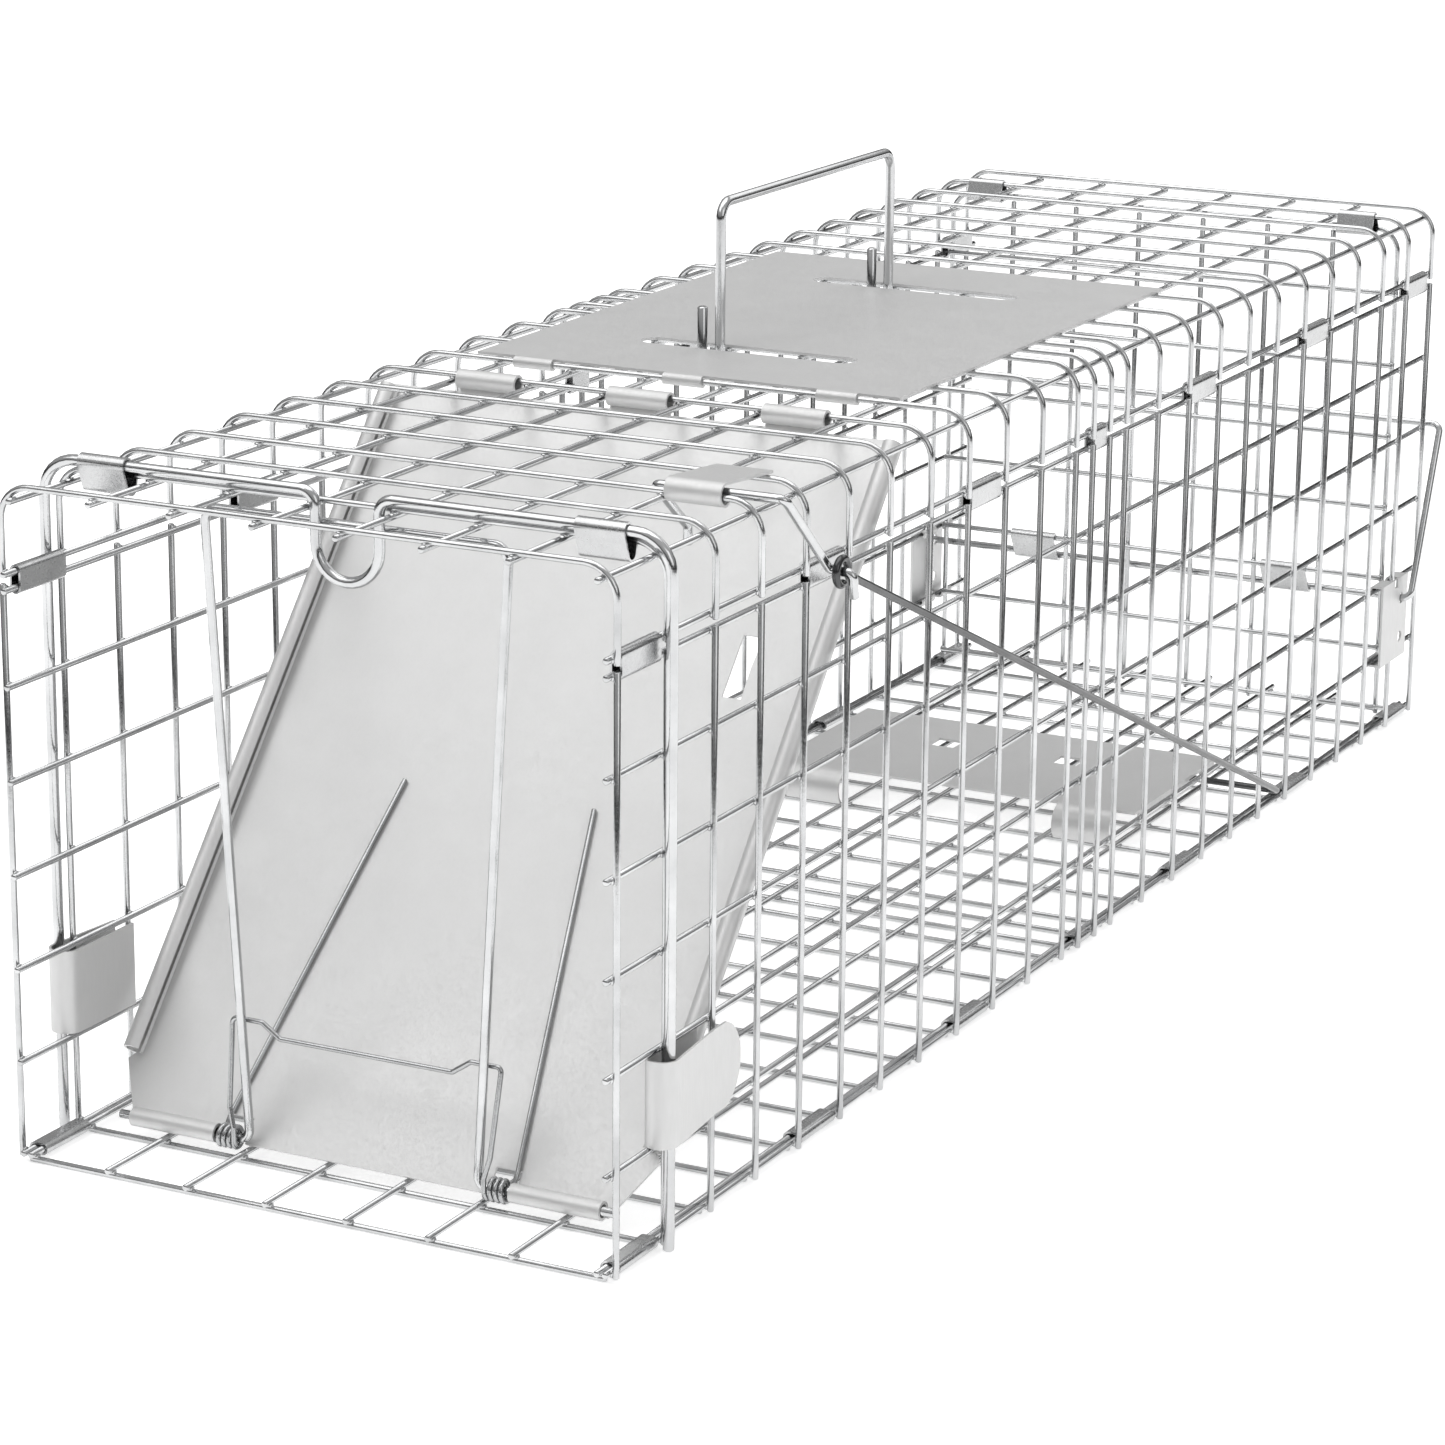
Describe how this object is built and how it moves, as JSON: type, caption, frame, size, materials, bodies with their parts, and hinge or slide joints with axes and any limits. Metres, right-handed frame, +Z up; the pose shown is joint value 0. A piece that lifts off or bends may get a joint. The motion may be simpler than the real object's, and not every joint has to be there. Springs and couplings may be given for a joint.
{
  "type": "live catch trap",
  "caption": "Long wire mesh live catch trap with a sloping front trap door and wire lock, a treadle and rod trigger, a hinged rear door with a lock rod, and a folding top handle.",
  "frame": {"origin": "centre of the bounding box's bottom, on the ground under the middle of the cage", "axes": "+X to the cage's right seen from the front, +Y from the front trap door to the rear door, +Z up"},
  "size_m": [0.1977, 0.6048, 0.2279],
  "materials": {
    "mesh_wire": "galvanised, satin",
    "bright_wire": "zinc plated, bright",
    "plate_sheet": "galvanised sheet, light satin grey",
    "clip_sheet": "galvanised strip, satin",
    "spring_wire": "bright spring wire"
  },
  "bodies": {
    "cage": {"top_panel": "mesh_wire", "left_side_panel": "mesh_wire", "right_side_panel": "mesh_wire", "floor_panel": "mesh_wire", "seam_clips": "clip_sheet", "floor_clips": "clip_sheet", "front_frame": "bright_wire", "front_frame_clips": "clip_sheet", "left_guard": "plate_sheet", "right_guard": "plate_sheet", "top_plate": "plate_sheet", "trigger_bracket": "plate_sheet", "rear_hinge_clips": "clip_sheet", "left_rear_bracket": "plate_sheet", "right_rear_bracket": "plate_sheet"},
    "door": {"door_panel": "plate_sheet", "lock_spring": "spring_wire"},
    "bail": {"lock_bail": "bright_wire"},
    "handle": {"carry_handle": "bright_wire"},
    "hook": {"trigger_hook": "bright_wire"},
    "rod": {"trigger_rod": "bright_wire"},
    "treadle": {"treadle_pan": "plate_sheet"},
    "rear_door": {"rear_door": "mesh_wire", "rear_door_sleeves": "clip_sheet"},
    "lock_rod": {"rear_lock_rod": "bright_wire"}
  },
  "joints": [
    {"name": "door_lift", "type": "hinge", "parent": "cage", "child": "door", "pos_m": [0, -0.12202, 0.18242], "axis": [-1, 0, 0], "range_deg": [0, 6]},
    {"name": "bail_fold", "type": "hinge", "parent": "door", "child": "bail", "pos_m": [0, -0.27392, 0.0068], "axis": [-1, 0, 0], "range_deg": [0, 36], "deforming": ["lock_spring"]},
    {"name": "handle_swing", "type": "hinge", "parent": "cage", "child": "handle", "pos_m": [-0.0121, -0.29983, 0.1806], "axis": [0, 1, 0], "range_deg": [-75, 75]},
    {"name": "treadle_tilt", "type": "hinge", "parent": "cage", "child": "treadle", "pos_m": [0, 0.09388, 0.0009], "axis": [1, 0, 0], "range_deg": [0, 3.2]},
    {"name": "hook_turn", "type": "hinge", "parent": "cage", "child": "hook", "pos_m": [0, -0.22137, 0.18332], "axis": [1, 0, 0], "range_deg": [-4.8, 0]},
    {"name": "rod_swing", "type": "hinge", "parent": "hook", "child": "rod", "pos_m": [0.0974, -0.19482, 0.1595], "axis": [1, 0, 0], "range_deg": [0, 4.65]},
    {"name": "rear_door_swing", "type": "hinge", "parent": "cage", "child": "rear_door", "pos_m": [0, 0.2744, 0.1781], "axis": [-1, 0, 0], "range_deg": [0, 70]},
    {"name": "lock_rod_slide", "type": "slide", "parent": "cage", "child": "lock_rod", "axis": [1, 0, 0], "range_m": [0, 0.19]}
  ],
  "couplings": [
    {"joint": "bail_fold", "follows": "door_lift", "ratio": 6},
    {"joint": "hook_turn", "follows": "treadle_tilt", "ratio": -1.5},
    {"joint": "rod_swing", "follows": "treadle_tilt", "ratio": 1.452}
  ]
}
